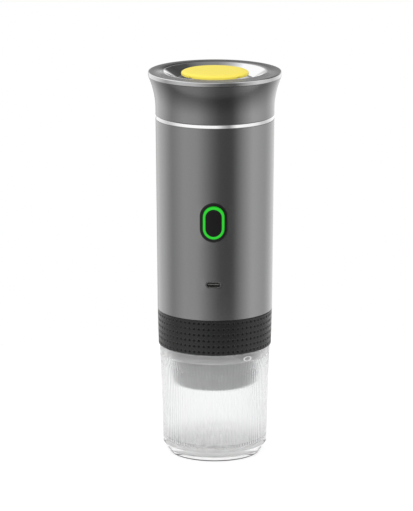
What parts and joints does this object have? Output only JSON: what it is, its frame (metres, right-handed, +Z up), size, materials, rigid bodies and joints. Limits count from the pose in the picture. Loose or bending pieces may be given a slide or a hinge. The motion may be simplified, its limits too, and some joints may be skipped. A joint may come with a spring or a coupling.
{
  "type": "portable capsule coffee machine",
  "caption": "Slim upright capsule coffee machine with a flared lid, vent button, power button, grip ring and a fluted clear cup that it stands on.",
  "frame": {"origin": "centre of the foot ring of the cup, on the surface that the machine stands on", "axes": "+Z up along the machine's axis, -Y out of the front, where the power button is"},
  "size_m": [0.0784, 0.0784, 0.2304],
  "materials": {
    "satin_shell": "satin metallic grey",
    "polished_dish": "mirror polished",
    "bright_trim": "bright anodised",
    "yellow_button": "soft gloss",
    "black_plastic": "satin",
    "green_light": "lit diffuser",
    "grip_rubber": "moulded with dimples",
    "clear_cup": "clear, fluted",
    "grey_housing": "fine satin",
    "dark_moulding": "moulded",
    "silicone": "soft",
    "red_silicone": "soft",
    "steel": "drawn",
    "heater_aluminium": "machined",
    "heater_core": "fired",
    "insulation": "felt",
    "cell_wrap": "shrink wrap",
    "pump_plastic": "moulded",
    "board": "solder mask",
    "board_black": "moulded"
  },
  "bodies": {
    "main": {"trim_ring": "bright_trim", "body_shell": "satin_shell", "tank_collar": "dark_moulding", "water_tank": "steel", "tank_insulation": "insulation", "heater_plate": "heater_aluminium", "heater_element": "heater_core", "thermistor": "heater_core", "upper_chassis": "dark_moulding", "lower_chassis": "dark_moulding", "battery_cells": "cell_wrap", "battery_tabs": "steel", "pump_motor": "steel", "pump_cover": "pump_plastic", "pump_body": "pump_plastic", "idler_pin": "steel", "inlet_hose": "silicone", "control_board": "board", "charging_socket": "steel", "socket_tongue": "grey_housing", "power_switch": "board_black", "button_frame": "black_plastic", "light_ring": "green_light", "brew_block": "dark_moulding", "pierce_plate": "steel", "pierce_needles": "steel", "chassis_screws": "steel", "board_screws": "steel"},
    "lid_seal": {"lid_gasket": "silicone"},
    "lid": {"lid_shell": "satin_shell", "lid_dish": "polished_dish", "lid_core": "dark_moulding", "vent_spring": "steel"},
    "vent": {"vent_button": "yellow_button", "vent_stem": "dark_moulding", "vent_valve": "silicone"},
    "power": {"power_button": "black_plastic", "switch_plunger": "board_black"},
    "brew_seal": {"brew_gasket": "red_silicone"},
    "brew_head": {"grip_ring": "grip_rubber", "nozzle_shell": "grey_housing", "basket_carrier": "dark_moulding", "capsule_basket": "steel", "outlet_plate": "steel", "cup_seal": "silicone"},
    "cup": {"cup": "clear_cup"},
    "pump_drive": {"motor_shaft": "steel", "drive_gear": "pump_plastic"},
    "pump_idler": {"idler_gear": "pump_plastic"}
  },
  "joints": [
    {"name": "lid_lift", "type": "slide", "parent": "main", "child": "lid_seal", "axis": [0, 0, 1], "range_m": [0, 0.06]},
    {"name": "lid_twist", "type": "hinge", "parent": "lid_seal", "child": "lid", "pos_m": [0, 0, 0.21], "axis": [0, 0, 1], "range_deg": [0, 90]},
    {"name": "vent_press", "type": "slide", "parent": "lid", "child": "vent", "axis": [0, 0, -1], "range_m": [0, 0.0016], "stiffness_N_per_m": 900, "springref_m": -0.001, "deforming": ["vent_spring"]},
    {"name": "power_press", "type": "slide", "parent": "main", "child": "power", "axis": [0, 1, 0], "range_m": [0, 0.0008], "stiffness_N_per_m": 1200, "springref_m": -0.0005},
    {"name": "brew_drop", "type": "slide", "parent": "main", "child": "brew_seal", "axis": [0, 0, -1], "range_m": [0, 0.05]},
    {"name": "brew_twist", "type": "hinge", "parent": "brew_seal", "child": "brew_head", "pos_m": [0, 0, 0.08], "axis": [0, 0, -1], "range_deg": [0, 60]},
    {"name": "cup_pull", "type": "slide", "parent": "brew_head", "child": "cup", "axis": [0, 0, -1], "range_m": [0, 0.06]},
    {"name": "pump_spin", "type": "hinge", "parent": "main", "child": "pump_drive", "pos_m": [-0.004, 0, 0.11], "axis": [0, 0, 1], "continuous": true},
    {"name": "idler_spin", "type": "hinge", "parent": "main", "child": "pump_idler", "pos_m": [0.004, 0, 0.11], "axis": [0, 0, 1], "continuous": true}
  ],
  "couplings": [
    {"joint": "idler_spin", "follows": "pump_spin", "ratio": -1}
  ]
}
